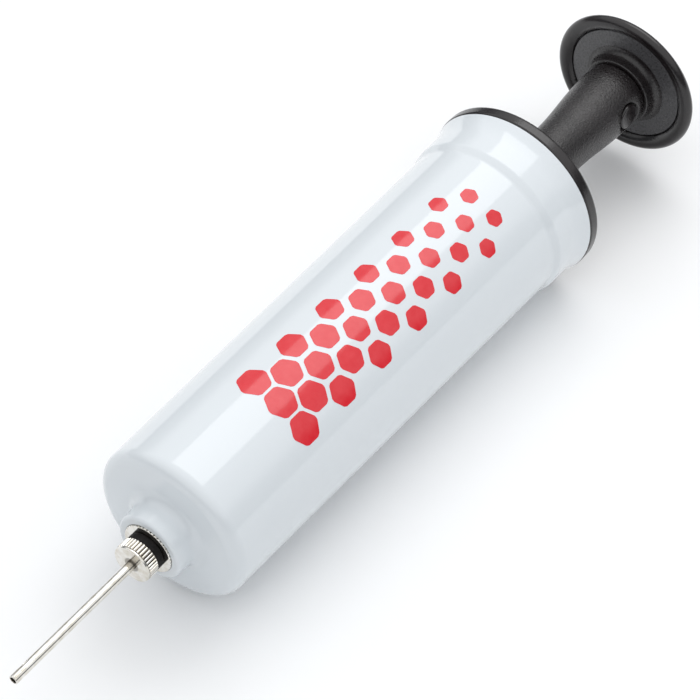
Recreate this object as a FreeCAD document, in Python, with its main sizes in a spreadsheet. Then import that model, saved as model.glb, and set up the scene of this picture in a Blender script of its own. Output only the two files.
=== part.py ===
import FreeCAD, Part
import math
import os
import re
import Sketcher

# Hand pump for inflating sports balls. Everything is turned about one axis, which
# lies along X at the height of the end cap's rim, so the pump lies on the floor.
# The needle points along -X and the knob is at +X. "Along" is the distance on
# that axis from the middle of the whole pump, and every piece is drawn about its
# own X axis and then lifted to the axis height.

doc = FreeCAD.newDocument("BallPump")

SIZES = {
    # Whole pump
    "axis_height": 20.1,
    # Barrel: a moulded tube with a closed front, a nose and a flared rear
    "front_face": -57.3,
    "shoulder_round": 2.6,
    "front_radius": 17.55,
    "rear_radius": 18.3,
    "band_start": 44.1,
    "band_full": 45.9,
    "band_radius": 19.0,
    "flare_start": 51.2,
    "flare_radius": 20.0,
    "flare_curve": 9.0,
    "mouth": 55.3,
    "bore_radius": 15.6,
    "bore_front": -54.3,
    "counterbore_radius": 16.9,
    "counterbore_start": 45.8,
    # Nose on the front of the barrel
    "nose_front": -63.0,
    "nose_radius": 7.45,
    "nose_base_radius": 7.75,
    "nose_foot_start": -59.2,
    "nose_foot_radius": 9.9,
    "nose_foot_curve": 2.3,
    "nose_round": 0.6,
    # Metal insert in the nose
    "insert_front": -63.3,
    "insert_back": -57.9,
    "insert_radius": 5.7,
    "insert_floor": -59.2,
    "insert_port_radius": 1.0,
    "insert_chamfer": 0.35,
    "insert_notches": 40,
    "insert_notch_depth": 0.22,
    "insert_notch_width": 0.5,
    "thread_radius": 3.0,
    # One-way valve behind the insert
    "chamber_radius": 2.4,
    "tower_radius": 6.2,
    "tower_back": -50.3,
    "seat_front": -53.4,
    "seat_radius": 4.0,
    "seat_bore_radius": 0.9,
    "seat_lip_radius": 1.3,
    "seat_lip_depth": 0.5,
    "ball_radius": 1.5,
    "ball_along": -54.18,
    "spring_wire": 0.14,
    "spring_radius": 1.15,
    "spring_start": -57.7,
    "spring_length": 2.3,
    "spring_turns": 4.5,
    # Inflation needle
    "tip": -101.7,
    "tube_radius": 0.99,
    "tube_bore": 0.68,
    "tube_seat_radius": 0.82,
    "tube_end": -62.0,
    "tip_chamfer": 0.2,
    "port_along": -97.7,
    "port_radius": 0.42,
    "port_turn": -62.0,
    "head_front": -68.0,
    "head_disc_radius": 4.2,
    "head_disc": 0.45,
    "head_back": -65.0,
    "head_radius": 4.3,
    "head_chamfer": 0.25,
    "head_ridges": 36,
    "ridge_depth": 0.34,
    "ridge_width": 0.52,
    "shank_radius": 2.95,
    "shank_back": -59.6,
    "shank_bore": 0.6,
    "washer_radius": 4.15,
    "washer_bore": 3.05,
    "washer_round": 0.3,
    # End cap and the bush that guides the rod
    "rim_radius": 20.1,
    "rim_back": 58.1,
    "rim_front_round": 0.5,
    "rim_back_round": 0.8,
    "spigot_front": 46.2,
    "spigot_radius": 16.85,
    "spigot_bore": 13.6,
    "cap_web": 53.9,
    "boss_front": 49.0,
    "boss_radius": 8.4,
    "cap_bore": 4.75,
    "bush_radius": 6.6,
    "bush_bore": 4.56,
    "bush_back": 51.8,
    "vents": 3,
    "vent_radius": 1.3,
    "vent_circle": 11.0,
    # Plunger rod
    "rod_radius": 4.5,
    "rod_bore": 2.8,
    "rod_end": 91.0,
    "rod_shoulder": -35.95,
    "rod_web_front": -33.0,
    "rod_web_back": -30.0,
    "pivot_radius": 3.0,
    "pivot_front": -47.2,
    # Piston, free to turn on the rod's pivot
    "core_back": -36.0,
    "core_front": -43.8,
    "core_radius": 15.2,
    "core_bore": 3.05,
    "core_recess": 5.0,
    "core_recess_outer": 12.4,
    "core_recess_inner": 6.5,
    "ring_front": -41.6,
    "ring_back": -39.1,
    "ring_seat": 13.6,
    "ring_radius": 15.45,
    "cup_front": -49.5,
    "cup_floor": -46.2,
    "cup_radius": 15.52,
    "cup_base_radius": 15.3,
    "cup_lip": 1.3,
    "cup_floor_radius": 12.8,
    "plate_front": -47.2,
    "plate_radius": 8.0,
    "screw_front": -49.3,
    "screw_seat": -47.25,
    "screw_head_radius": 3.6,
    "screw_round": 0.8,
    "screw_radius": 1.9,
    "screw_end": -34.0,
    "slot_width": 0.9,
    "slot_span": 4.4,
    "slot_depth": 0.9,
    "bumper_back": -31.5,
    "bumper_radius": 8.0,
    "bumper_round": 0.8,
    # Handle: neck, latch button and knob
    "neck_front": 58.3,
    "neck_tip_radius": 5.6,
    "neck_bore": 4.52,
    "neck_bore_end": 91.2,
    "neck_waist": 76.0,
    "neck_waist_radius": 6.3,
    "neck_swell": 84.0,
    "neck_swell_radius": 7.1,
    "neck_crown": 90.5,
    "neck_crown_radius": 7.42,
    "neck_back": 93.9,
    "neck_back_radius": 7.15,
    "neck_back_round": 0.4,
    "neck_curve": 40.0,
    "tenon_radius": 5.0,
    "tenon_end": 98.2,
    "latch_along": 88.6,
    "latch_turn": 85.0,
    "latch_radius": 2.8,
    "latch_inner": 2.0,
    "latch_outer": 7.0,
    "latch_round": 0.5,
    "latch_hole": 2.85,
    "latch_window": 3.15,
    "window_chamfer": 0.35,
    "hub_front": 94.0,
    "hub_radius": 7.9,
    "hub_foot_radius": 9.6,
    "hub_curve": 3.6,
    "socket_radius": 5.02,
    "socket_end": 98.3,
    "disc_front": 97.2,
    "disc_radius": 13.6,
    "disc_round": 0.3,
    "groove_floor": 97.75,
    "disc_seat_radius": 14.4,
    "disc_back": 98.9,
    "crown_inner": 98.95,
    "lip_front": 97.7,
    "lip_radius": 14.45,
    "bead_foot": 97.35,
    "bead_inner": 13.75,
    "bead_front": 96.15,
    "bead_crest": 15.5,
    "bead_inner_curve": 2.4,
    "bead_along": 97.4,
    "bead_radius": 17.05,
    "bead_outer_curve": 1.4,
    "crown_edge": 98.6,
    "crown_edge_radius": 16.1,
    "crown_edge_curve": 1.2,
    "crown_flat_radius": 9.0,
    "crown_curve": 14.0,
    "crown_top": 101.7,
}

sheet = doc.addObject("Spreadsheet::Sheet", "Sizes")
for row, (alias, value) in enumerate(SIZES.items(), start=1):
    sheet.set("A%d" % row, alias)
    sheet.set("B%d" % row, str(value))
    sheet.setAlias("B%d" % row, alias)
doc.recompute()


def bound(text):
    """The expression with every word read from the sheet of sizes."""
    return re.sub(r"[a-z][a-z_]*", lambda word: "Sizes." + word.group(), text)


def number(text):
    """What the expression comes to now."""
    return float(sheet.evalExpression(bound(text)))


def origin_plane(body, role):
    for feature in body.Origin.OriginFeatures:
        if feature.Role == role:
            return feature
    raise RuntimeError("no " + role)


def new_body(label):
    """An empty body whose own X axis is the pump's axis."""
    body = doc.addObject("PartDesign::Body", label)
    body.Label = label
    body.setExpression("Placement.Base.z", bound("axis_height"))
    return body


def new_sketch(body, name, role, offset=None):
    """A sketch on one of the body's own planes, moved along its normal by offset."""
    sketch = body.newObject("Sketcher::SketchObject", name)
    sketch.AttachmentSupport = [(origin_plane(body, role), "")]
    sketch.MapMode = "FlatFace"
    if offset is not None:
        sketch.setExpression("AttachmentOffset.Base.z", bound(offset))
    return sketch


def drive(sketch, constraint, expression):
    """Add a constraint whose value follows the sheet."""
    index = sketch.addConstraint(constraint)
    sketch.setExpression("Constraints[%d]" % index, bound(expression))


def arc_between(start, end, radius, side):
    """The shorter arc from start to end; side +1 puts its centre to the right of the way there."""
    chord = end - start
    middle = (start + end) * 0.5
    rise = math.sqrt(max(radius**2 - (chord.Length / 2) ** 2, 0.0))
    across = FreeCAD.Vector(chord.y, -chord.x, 0).normalize()
    centre = middle + across * rise * side
    bulge = centre - across * radius * side
    return Part.Arc(start, bulge, end)


def draw_outline(sketch, corners):
    """Draw a closed outline. A corner is (x, y), or (x, y, radius, side) where an arc arrives at it."""
    points = [FreeCAD.Vector(number(c[0]), number(c[1]), 0) for c in corners]
    count = len(corners)
    ends = {}
    for index in range(count):
        start = points[index - 1]
        end = points[index]
        if len(corners[index]) == 2:
            geometry = sketch.addGeometry(Part.LineSegment(start, end), False)
            ends[index] = (geometry, 1, 2)
            continue
        radius, side = corners[index][2:]
        arc = arc_between(start, end, number(radius), side)
        geometry = sketch.addGeometry(arc, False)
        starts_here = sketch.getPoint(geometry, 1).distanceToPoint(start) < 1e-4
        ends[index] = (geometry, 1, 2) if starts_here else (geometry, 2, 1)
        drive(sketch, Sketcher.Constraint("Radius", geometry, number(radius)), radius)
    for index in range(count):
        geometry, _, last = ends[index]
        following, first, _ = ends[(index + 1) % count]
        sketch.addConstraint(Sketcher.Constraint("Coincident", geometry, last, following, first))
        x, y = corners[index][:2]
        drive(sketch, Sketcher.Constraint("DistanceX", -1, 1, geometry, last, points[index].x), x)
        if y == "0":
            sketch.addConstraint(Sketcher.Constraint("PointOnObject", geometry, last, -1))
        else:
            drive(sketch, Sketcher.Constraint("DistanceY", -1, 1, geometry, last, points[index].y), y)


def turned(label, corners):
    """A body turned about the pump's axis from a closed outline of (along, radius) corners."""
    body = new_body(label)
    profile = new_sketch(body, label + "_profile", "XZ_Plane")
    draw_outline(profile, corners)
    turn = body.newObject("PartDesign::Revolution", label + "_turn")
    turn.Profile = profile
    turn.ReferenceAxis = (profile, ["H_Axis"])
    turn.Angle = 360.0
    profile.Visibility = False
    doc.recompute()
    return body


def ring_edges(shape, rings):
    """Names of the edges that circle the pump's axis at the given (along, radius) places."""
    names = []
    wanted = [(number(along), number(radius)) for along, radius in rings]
    for index, edge in enumerate(shape.Edges, start=1):
        if not isinstance(edge.Curve, Part.Circle):
            continue
        centre = edge.Curve.Center
        for along, radius in wanted:
            near = abs(centre.x - along) + abs(edge.Curve.Radius - radius)
            if near < 1e-3 and abs(centre.y) + abs(centre.z) < 1e-3:
                names.append("Edge%d" % index)
    if len(names) < len(wanted):
        raise RuntimeError("edges not found: %s" % rings)
    return names


def round_rings(body, name, radius, rings):
    base = body.Tip
    fillet = body.newObject("PartDesign::Fillet", name)
    fillet.Base = (base, ring_edges(base.Shape, rings))
    fillet.setExpression("Radius", bound(radius))
    doc.recompute()


def chamfer_rings(body, name, size, rings):
    base = body.Tip
    chamfer = body.newObject("PartDesign::Chamfer", name)
    chamfer.Base = (base, ring_edges(base.Shape, rings))
    chamfer.setExpression("Size", bound(size))
    doc.recompute()


def add_circle(sketch, radius, along=None, away=None):
    """A circle with its centre at (along, away), or on the sketch's origin."""
    centre = FreeCAD.Vector(number(along) if along else 0, number(away) if away else 0, 0)
    circle = sketch.addGeometry(Part.Circle(centre, FreeCAD.Vector(0, 0, 1), number(radius)), False)
    drive(sketch, Sketcher.Constraint("Radius", circle, number(radius)), radius)
    if along:
        drive(sketch, Sketcher.Constraint("DistanceX", -1, 1, circle, 3, centre.x), along)
    else:
        sketch.addConstraint(Sketcher.Constraint("PointOnObject", circle, 3, -2))
    if away:
        drive(sketch, Sketcher.Constraint("DistanceY", -1, 1, circle, 3, centre.y), away)
    else:
        sketch.addConstraint(Sketcher.Constraint("PointOnObject", circle, 3, -1))


def cut(body, name, sketch, depth, backwards=False):
    """Pocket a sketch into the body and make sure that it removed something."""
    before = body.Tip.Shape.Volume
    pocket = body.newObject("PartDesign::Pocket", name)
    pocket.Profile = sketch
    pocket.setExpression("Length", bound(depth))
    pocket.Reversed = backwards
    sketch.Visibility = False
    doc.recompute()
    if pocket.Shape.Volume > before - 1e-4:
        raise RuntimeError(name + " cuts nothing")
    return pocket


def repeat(body, name, feature, count):
    """Repeat a feature evenly round the pump's axis."""
    pattern = body.newObject("PartDesign::PolarPattern", name)
    pattern.Originals = [feature]
    pattern.Axis = (feature.Profile[0], ["N_Axis"])
    pattern.Angle = 360.0
    pattern.setExpression("Occurrences", bound(count))
    body.Tip = pattern
    doc.recompute()


def notch_round(body, name, back, radius, depth, width, length, count):
    """Cut vee notches along the outside of a turned piece, evenly spaced round it."""
    sketch = new_sketch(body, name + "_vee", "YZ_Plane", back)
    edge = radius + " + 0.1"
    draw_outline(
        sketch,
        [
            ("0 - " + width + " / 2", edge),
            (width + " / 2", edge),
            ("0", radius + " - " + depth),
        ],
    )
    groove = cut(body, name, sketch, length)
    repeat(body, name + "s", groove, count)


# ---- Barrel ----

barrel_shell = turned(
    "barrel_shell",
    [
        ("nose_front", "insert_radius"),
        ("nose_front", "nose_radius"),
        ("nose_foot_start", "nose_base_radius"),
        ("front_face", "nose_foot_radius", "nose_foot_curve", -1),
        ("front_face", "front_radius - shoulder_round"),
        ("front_face + shoulder_round", "front_radius", "shoulder_round", 1),
        ("band_start", "rear_radius"),
        ("band_full", "band_radius"),
        ("flare_start", "band_radius + 0.1"),
        ("mouth", "flare_radius", "flare_curve", -1),
        ("mouth", "counterbore_radius"),
        ("counterbore_start", "counterbore_radius"),
        ("counterbore_start", "bore_radius"),
        ("bore_front", "bore_radius"),
        ("bore_front", "tower_radius"),
        ("tower_back", "tower_radius"),
        ("tower_back", "seat_radius"),
        ("seat_front", "seat_radius"),
        ("seat_front", "chamber_radius"),
        ("insert_back", "chamber_radius"),
        ("insert_back", "insert_radius"),
    ],
)
round_rings(barrel_shell, "nose_rim", "nose_round", [("nose_front", "nose_radius")])

# ---- Nozzle insert: brass, with a threaded bore and a notched outside ----

nozzle_insert = turned(
    "nozzle_insert",
    [
        ("insert_front", "thread_radius"),
        ("insert_front", "insert_radius"),
        ("insert_back", "insert_radius"),
        ("insert_back", "insert_port_radius"),
        ("insert_floor", "insert_port_radius"),
        ("insert_floor", "thread_radius"),
    ],
)
chamfer_rings(
    nozzle_insert,
    "insert_mouth",
    "insert_chamfer",
    [("insert_front", "thread_radius")],
)
notch_round(
    nozzle_insert,
    "insert_notch",
    "insert_back",
    "insert_radius",
    "insert_notch_depth",
    "insert_notch_width",
    "insert_back - insert_front",
    "insert_notches",
)

# ---- One-way valve: seat, ball and spring ----

valve_seat = turned(
    "valve_seat",
    [
        ("seat_front", "seat_lip_radius"),
        ("seat_front", "seat_radius"),
        ("tower_back", "seat_radius"),
        ("tower_back", "seat_bore_radius"),
        ("seat_front + seat_lip_depth", "seat_bore_radius"),
    ],
)

valve_ball = doc.addObject("Part::Sphere", "valve_ball")
valve_ball.Label = "valve_ball"
valve_ball.setExpression("Radius", bound("ball_radius"))
valve_ball.setExpression("Placement.Base.x", bound("ball_along"))
valve_ball.setExpression("Placement.Base.z", bound("axis_height"))

spring_path = doc.addObject("Part::Helix", "spring_path")
spring_path.setExpression("Radius", bound("spring_radius"))
spring_path.setExpression("Height", bound("spring_length"))
spring_path.setExpression("Pitch", bound("spring_length / spring_turns"))
spring_wire = doc.addObject("Part::Circle", "spring_wire")
spring_wire.setExpression("Radius", bound("spring_wire"))
spring_wire.Placement.Rotation = FreeCAD.Rotation(FreeCAD.Vector(1, 0, 0), 90)
spring_wire.setExpression("Placement.Base.x", bound("spring_radius"))
doc.recompute()
valve_spring = doc.addObject("Part::Sweep", "valve_spring")
valve_spring.Label = "valve_spring"
valve_spring.Sections = [spring_wire]
valve_spring.Spine = (spring_path, ["Edge1"])
valve_spring.Solid = True
valve_spring.Frenet = True
valve_spring.Placement.Rotation = FreeCAD.Rotation(FreeCAD.Vector(0, 1, 0), 90)
valve_spring.setExpression("Placement.Base.x", bound("spring_start"))
valve_spring.setExpression("Placement.Base.z", bound("axis_height"))

# ---- Inflation needle: tube, knurled head and washer ----

needle_tube = turned(
    "needle_tube",
    [
        ("tip", "tube_bore"),
        ("tip", "tube_radius"),
        ("head_front", "tube_radius"),
        ("head_front", "tube_seat_radius"),
        ("tube_end", "tube_seat_radius"),
        ("tube_end", "tube_bore"),
    ],
)
chamfer_rings(needle_tube, "tip_edge", "tip_chamfer", [("tip", "tube_radius")])
port = new_sketch(needle_tube, "port_circle", "XY_Plane")
add_circle(port, "port_radius", "port_along")
cut(needle_tube, "port", port, "tube_radius + 1", backwards=True)
needle_tube.Placement.Rotation = FreeCAD.Rotation(FreeCAD.Vector(1, 0, 0), number("port_turn"))

needle_head = turned(
    "needle_head",
    [
        ("head_front", "tube_seat_radius + 0.01"),
        ("head_front", "head_disc_radius"),
        ("head_front + head_disc", "head_disc_radius"),
        ("head_front + head_disc + head_chamfer", "head_radius"),
        ("head_back - head_chamfer", "head_radius"),
        ("head_back", "head_radius - head_chamfer"),
        ("head_back", "shank_radius"),
        ("shank_back", "shank_radius"),
        ("shank_back", "shank_bore"),
        ("tube_end + 0.1", "shank_bore"),
        ("tube_end + 0.1", "tube_seat_radius + 0.01"),
    ],
)
chamfer_rings(needle_head, "shank_end", "insert_chamfer", [("shank_back", "shank_radius")])
notch_round(
    needle_head,
    "ridge_gap",
    "head_back",
    "head_radius",
    "ridge_depth",
    "ridge_width",
    "head_back - head_front - head_disc",
    "head_ridges",
)

needle_washer = turned(
    "needle_washer",
    [
        ("head_back", "washer_bore"),
        ("head_back", "washer_radius"),
        ("insert_front", "washer_radius"),
        ("insert_front", "washer_bore"),
    ],
)
round_rings(
    needle_washer,
    "washer_edge",
    "washer_round",
    [("head_back", "washer_radius"), ("insert_front", "washer_radius")],
)

# ---- End cap and guide bush ----

end_cap = turned(
    "end_cap",
    [
        ("spigot_front", "spigot_bore"),
        ("spigot_front", "spigot_radius"),
        ("mouth", "spigot_radius"),
        ("mouth", "rim_radius"),
        ("rim_back", "rim_radius"),
        ("rim_back", "cap_bore"),
        ("bush_back", "cap_bore"),
        ("bush_back", "bush_radius"),
        ("boss_front", "bush_radius"),
        ("boss_front", "boss_radius"),
        ("cap_web", "boss_radius"),
        ("cap_web", "spigot_bore"),
    ],
)
round_rings(end_cap, "rim_front_edge", "rim_front_round", [("mouth", "rim_radius")])
round_rings(end_cap, "rim_back_edge", "rim_back_round", [("rim_back", "rim_radius")])
vent = new_sketch(end_cap, "vent_circle", "YZ_Plane", "rim_back")
add_circle(vent, "vent_radius", None, "vent_circle")
vent_hole = cut(end_cap, "vent", vent, "rim_back - cap_web + 1")
repeat(end_cap, "vent_holes", vent_hole, "vents")

guide_bush = turned(
    "guide_bush",
    [
        ("boss_front", "bush_bore"),
        ("boss_front", "bush_radius"),
        ("bush_back", "bush_radius"),
        ("bush_back", "bush_bore"),
    ],
)

# ---- Plunger rod ----

plunger_rod = turned(
    "plunger_rod",
    [
        ("pivot_front", "screw_radius"),
        ("pivot_front", "pivot_radius"),
        ("rod_shoulder", "pivot_radius"),
        ("rod_shoulder", "rod_radius"),
        ("rod_end", "rod_radius"),
        ("rod_end", "rod_bore"),
        ("rod_web_back", "rod_bore"),
        ("rod_web_back", "0"),
        ("rod_web_front", "0"),
        ("rod_web_front", "screw_radius"),
    ],
)
chamfer_rings(plunger_rod, "rod_edge", "window_chamfer", [("rod_end", "rod_radius")])
latch_hole = new_sketch(plunger_rod, "latch_hole_circle", "XY_Plane")
add_circle(latch_hole, "latch_hole", "latch_along")
cut(plunger_rod, "latch_hole", latch_hole, "rod_radius + 1", backwards=True)
plunger_rod.Placement.Rotation = FreeCAD.Rotation(FreeCAD.Vector(1, 0, 0), number("latch_turn"))

# ---- Piston: core, guide ring, cup seal, plate and screw ----

piston_core = turned(
    "piston_core",
    [
        ("core_front", "core_bore"),
        ("core_front", "core_radius"),
        ("ring_front", "core_radius"),
        ("ring_front", "ring_seat"),
        ("ring_back", "ring_seat"),
        ("ring_back", "core_radius"),
        ("core_back", "core_radius"),
        ("core_back", "core_recess_outer"),
        ("core_back - core_recess", "core_recess_outer"),
        ("core_back - core_recess", "core_recess_inner"),
        ("core_back", "core_recess_inner"),
        ("core_back", "core_bore"),
    ],
)

guide_ring = turned(
    "guide_ring",
    [
        ("ring_front", "ring_seat"),
        ("ring_front", "ring_radius"),
        ("ring_back", "ring_radius"),
        ("ring_back", "ring_seat"),
    ],
)

piston_cup = turned(
    "piston_cup",
    [
        ("cup_floor", "core_bore"),
        ("cup_floor", "cup_floor_radius"),
        ("cup_front", "cup_radius - cup_lip"),
        ("cup_front", "cup_radius"),
        ("core_front - 0.6", "cup_base_radius"),
        ("core_front", "cup_base_radius - 0.6"),
        ("core_front", "core_bore"),
    ],
)

cup_plate = turned(
    "cup_plate",
    [
        ("plate_front", "core_bore"),
        ("plate_front", "plate_radius"),
        ("cup_floor", "plate_radius"),
        ("cup_floor", "core_bore"),
    ],
)

piston_screw = turned(
    "piston_screw",
    [
        ("screw_front", "0"),
        ("screw_front", "screw_head_radius"),
        ("screw_seat", "screw_head_radius"),
        ("screw_seat", "screw_radius"),
        ("screw_end", "screw_radius"),
        ("screw_end", "0"),
    ],
)
round_rings(piston_screw, "screw_crown", "screw_round", [("screw_front", "screw_head_radius")])
slot = new_sketch(piston_screw, "slot_outline", "YZ_Plane", "screw_front")
draw_outline(
    slot,
    [
        ("0 - slot_span / 2", "0 - slot_width / 2"),
        ("slot_span / 2", "0 - slot_width / 2"),
        ("slot_span / 2", "slot_width / 2"),
        ("0 - slot_span / 2", "slot_width / 2"),
    ],
)
cut(piston_screw, "slot", slot, "slot_depth", backwards=True)

stop_bumper = turned(
    "stop_bumper",
    [
        ("rod_shoulder", "rod_radius"),
        ("rod_shoulder", "bumper_radius"),
        ("bumper_back", "bumper_radius"),
        ("bumper_back", "rod_radius"),
    ],
)
round_rings(stop_bumper, "bumper_edge", "bumper_round", [("bumper_back", "bumper_radius")])

# ---- Handle: neck, latch button and two-piece knob ----

handle_neck = turned(
    "handle_neck",
    [
        ("neck_front", "neck_bore"),
        ("neck_front", "neck_tip_radius"),
        ("neck_waist", "neck_waist_radius"),
        ("neck_swell", "neck_swell_radius", "neck_curve", -1),
        ("neck_crown", "neck_crown_radius", "neck_curve", 1),
        ("neck_back", "neck_back_radius", "neck_curve / 2", 1),
        ("neck_back", "tenon_radius"),
        ("tenon_end", "tenon_radius"),
        ("tenon_end", "0"),
        ("neck_bore_end", "0"),
        ("neck_bore_end", "neck_bore"),
    ],
)
round_rings(handle_neck, "neck_back_edge", "neck_back_round", [("neck_back", "neck_back_radius")])
window = new_sketch(handle_neck, "window_circle", "XY_Plane")
add_circle(window, "latch_window", "latch_along")
cut(handle_neck, "window", window, "neck_crown_radius + 1", backwards=True)
handle_neck.Placement.Rotation = FreeCAD.Rotation(FreeCAD.Vector(1, 0, 0), number("latch_turn"))

latch_button = new_body("latch_button")
latch_circle = new_sketch(latch_button, "latch_circle", "XY_Plane", "latch_inner")
add_circle(latch_circle, "latch_radius")
latch_pad = latch_button.newObject("PartDesign::Pad", "latch_pad")
latch_pad.Profile = latch_circle
latch_pad.setExpression("Length", bound("latch_outer - latch_inner"))
latch_circle.Visibility = False
doc.recompute()
top_edges = [
    "Edge%d" % index
    for index, edge in enumerate(latch_pad.Shape.Edges, start=1)
    if abs(edge.BoundBox.ZMin - number("latch_outer")) < 1e-3
]
latch_crown = latch_button.newObject("PartDesign::Fillet", "latch_crown")
latch_crown.Base = (latch_pad, top_edges)
latch_crown.setExpression("Radius", bound("latch_round"))
latch_button.Placement.Rotation = FreeCAD.Rotation(FreeCAD.Vector(1, 0, 0), number("latch_turn"))
latch_button.setExpression("Placement.Base.x", bound("latch_along"))

knob_base = turned(
    "knob_base",
    [
        ("hub_front", "socket_radius"),
        ("hub_front", "hub_radius"),
        ("disc_front", "hub_foot_radius", "hub_curve", -1),
        ("disc_front", "disc_radius"),
        ("groove_floor", "disc_radius"),
        ("groove_floor", "disc_seat_radius"),
        ("disc_back", "disc_seat_radius"),
        ("disc_back", "0"),
        ("socket_end", "0"),
        ("socket_end", "socket_radius"),
    ],
)
round_rings(
    knob_base,
    "knob_base_edges",
    "disc_round",
    [("hub_front", "hub_radius"), ("disc_front", "disc_radius")],
)

knob_crown = turned(
    "knob_crown",
    [
        ("crown_inner", "0"),
        ("crown_inner", "lip_radius"),
        ("lip_front", "lip_radius"),
        ("lip_front", "bead_inner"),
        ("bead_foot", "bead_inner"),
        ("bead_front", "bead_crest", "bead_inner_curve", 1),
        ("bead_along", "bead_radius", "bead_outer_curve", 1),
        ("crown_edge", "crown_edge_radius", "crown_edge_curve", 1),
        ("crown_top", "crown_flat_radius", "crown_curve", 1),
        ("crown_top", "0"),
    ],
)

# ---- Check every object, then write one file for each piece ----

NODES = [
    barrel_shell,
    nozzle_insert,
    valve_seat,
    valve_ball,
    valve_spring,
    needle_tube,
    needle_head,
    needle_washer,
    end_cap,
    guide_bush,
    plunger_rod,
    piston_core,
    guide_ring,
    piston_cup,
    cup_plate,
    piston_screw,
    stop_bumper,
    handle_neck,
    latch_button,
    knob_base,
    knob_crown,
]

doc.recompute()
for item in doc.Objects:
    if "Invalid" in item.State or "Error" in item.State:
        raise RuntimeError("%s did not recompute: %s" % (item.Label, item.State))
for node in NODES:
    if node.Shape.isNull() or not node.Shape.isValid() or len(node.Shape.Solids) != 1:
        raise RuntimeError(node.Label + " is not one valid solid")

os.makedirs("parts", exist_ok=True)
for node in NODES:
    node.Shape.exportStep("parts/%s.step" % node.Label)
    box = node.Shape.BoundBox
    print(
        "%-14s x %8.2f %8.2f  y %7.2f %7.2f  z %7.2f %7.2f  volume %9.2f"
        % (node.Label, box.XMin, box.XMax, box.YMin, box.YMax, box.ZMin, box.ZMax, node.Shape.Volume)
    )
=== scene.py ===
import bpy, math
import numpy as np
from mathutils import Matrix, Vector


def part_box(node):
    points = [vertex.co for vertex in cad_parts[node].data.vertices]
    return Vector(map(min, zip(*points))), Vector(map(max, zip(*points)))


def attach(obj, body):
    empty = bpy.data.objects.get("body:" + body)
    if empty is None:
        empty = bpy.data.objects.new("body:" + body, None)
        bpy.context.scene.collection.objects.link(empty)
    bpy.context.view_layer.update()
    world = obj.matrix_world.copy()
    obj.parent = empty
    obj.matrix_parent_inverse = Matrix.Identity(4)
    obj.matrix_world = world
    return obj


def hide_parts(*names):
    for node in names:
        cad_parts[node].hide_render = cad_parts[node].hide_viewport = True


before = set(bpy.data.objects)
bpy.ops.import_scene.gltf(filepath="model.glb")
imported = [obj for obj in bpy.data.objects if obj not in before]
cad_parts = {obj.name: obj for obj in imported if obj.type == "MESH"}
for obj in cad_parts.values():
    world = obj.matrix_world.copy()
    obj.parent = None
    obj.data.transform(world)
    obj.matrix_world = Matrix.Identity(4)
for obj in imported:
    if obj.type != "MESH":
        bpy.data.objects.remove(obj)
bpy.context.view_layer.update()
mm = 0.001
capLow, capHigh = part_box("end_cap")
axisHeight = (capLow.z + capHigh.z) / 2  # the pump's axis runs along X at this height


# where a node starts along the pump, in millimetres
def frontOf(node):
    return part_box(node)[0].x / mm


# outline corners given as distances behind a node's front
def placed(node, corners):
    front = frontOf(node)
    return [(front + c[0],) + tuple(c[1:]) for c in corners]


# evenly spaced turns round the axis: full turn * number / count
def turnsOf(count):
    return np.arange(count) * 2 * np.pi / count


# each corner (along, radius, rounding) gives way to an arc that touches both straight runs:
# centre = corner + bisector * rounding / sin(half angle), and the arc goes from one touch point to the other
def cornerArcs(corners, steps):
    spot = np.array([c[:2] for c in corners], float)
    rounding = np.array([c[2] if len(c) > 2 else 0.0 for c in corners], float)
    back = np.roll(spot, 1, 0) - spot
    ahead = np.roll(spot, -1, 0) - spot
    back /= np.linalg.norm(back, axis=1)[:, None]
    ahead /= np.linalg.norm(ahead, axis=1)[:, None]
    half = np.arccos(np.clip((back * ahead).sum(1), -1, 1)) / 2
    reach = rounding / np.tan(half)
    bisector = back + ahead
    bisector /= np.maximum(np.linalg.norm(bisector, axis=1), 1e-9)[:, None]
    centre = spot + bisector * (rounding / np.sin(half))[:, None]
    first = spot + back * reach[:, None] - centre
    last = spot + ahead * reach[:, None] - centre
    start = np.arctan2(first[:, 1], first[:, 0])
    sweep = np.arctan2(last[:, 1], last[:, 0]) - start
    sweep = (sweep + np.pi) % (2 * np.pi) - np.pi
    angle = start[:, None] + sweep[:, None] * np.linspace(0, 1, steps)
    arc = centre[:, None] + rounding[:, None, None] * np.stack([np.cos(angle), np.sin(angle)], 2)
    return np.where(rounding[:, None, None] > 0, arc, spot[:, None]).reshape(-1, 2)


# an outline in metres, as one array along the pump and one of radii: its rounded corners, and on a long
# straight run one more point at each end, end + unit * support, which keeps the flat's shading flat
def roundedOutline(corners, closed=True, steps=7, support=0.22):
    path = cornerArcs(corners, steps)
    following = np.roll(path, -1, 0)
    run = following - path
    length = np.linalg.norm(run, axis=1)
    unit = run / np.maximum(length, 1e-9)[:, None]
    near = np.stack([path, path + unit * support, following - unit * support], 1)
    isLong = length > 4 * support
    keep = np.stack([length > 1e-6, isLong, isLong], 1)
    if not closed:
        keep[-1] = [True, False, False]
    path = near[keep]
    return path[:, 0] * mm, path[:, 1] * mm


# outline corners on an arc: centre = middle of the chord plus, to the right of the way there,
# sqrt(radius^2 - half chord^2), and the angles run evenly from one end to the other
def arcCorners(first, last, radius, steps=11):
    first, last = np.array(first, float), np.array(last, float)
    chord = last - first
    length = np.hypot(*chord)
    across = np.array([chord[1], -chord[0]]) / length
    centre = (first + last) / 2 + across * math.sqrt(max(radius**2 - length**2 / 4, 0))
    start = math.atan2(*(first - centre)[::-1])
    sweep = (math.atan2(*(last - centre)[::-1]) - start + math.pi) % (2 * math.pi) - math.pi
    angle = start + sweep * np.linspace(0, 1, steps)
    return [tuple(c) for c in centre + radius * np.stack([np.cos(angle), np.sin(angle)], 1)]


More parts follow.
